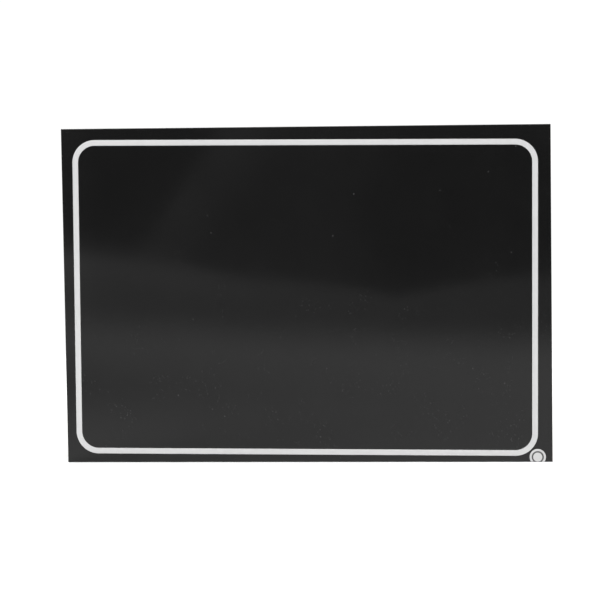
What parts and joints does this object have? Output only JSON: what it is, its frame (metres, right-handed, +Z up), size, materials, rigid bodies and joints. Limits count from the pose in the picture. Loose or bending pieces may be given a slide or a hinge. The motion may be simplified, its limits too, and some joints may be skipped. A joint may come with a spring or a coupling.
{
  "type": "kick plate",
  "caption": "Flat gloss-black plastic door kick plate with a light rounded border line, a small round corner label, and foam tape under release liners on its back.",
  "frame": {"origin": "centre of the rear mounting plane, which is the outer face of the release liners, level with the middle of the sheet", "axes": "+X to the right seen from the front, +Z up, +Y out of the back towards the door; the gloss face looks towards -Y"},
  "size_m": [0.406, 0.0043, 0.28],
  "materials": {
    "gloss_black_sheet": "high gloss front, fine matte grain on the back",
    "silver_film": "satin silver-grey vinyl film",
    "label_film": "satin silver-grey label film with a plain printed ring",
    "foam_tape": "grey closed-cell foam with cut edges",
    "liner_paper": "tan silicone-coated kraft paper, faint calendered sheen"
  },
  "bodies": {
    "root": {"face_sheet": "gloss_black_sheet", "border_line": "silver_film", "corner_label": "label_film", "tape_top": "foam_tape", "tape_bottom": "foam_tape", "tape_left": "foam_tape", "tape_right": "foam_tape", "tape_middle": "foam_tape", "liner_top": "liner_paper", "liner_bottom": "liner_paper", "liner_left": "liner_paper", "liner_right": "liner_paper", "liner_middle": "liner_paper"}
  },
  "joints": []
}
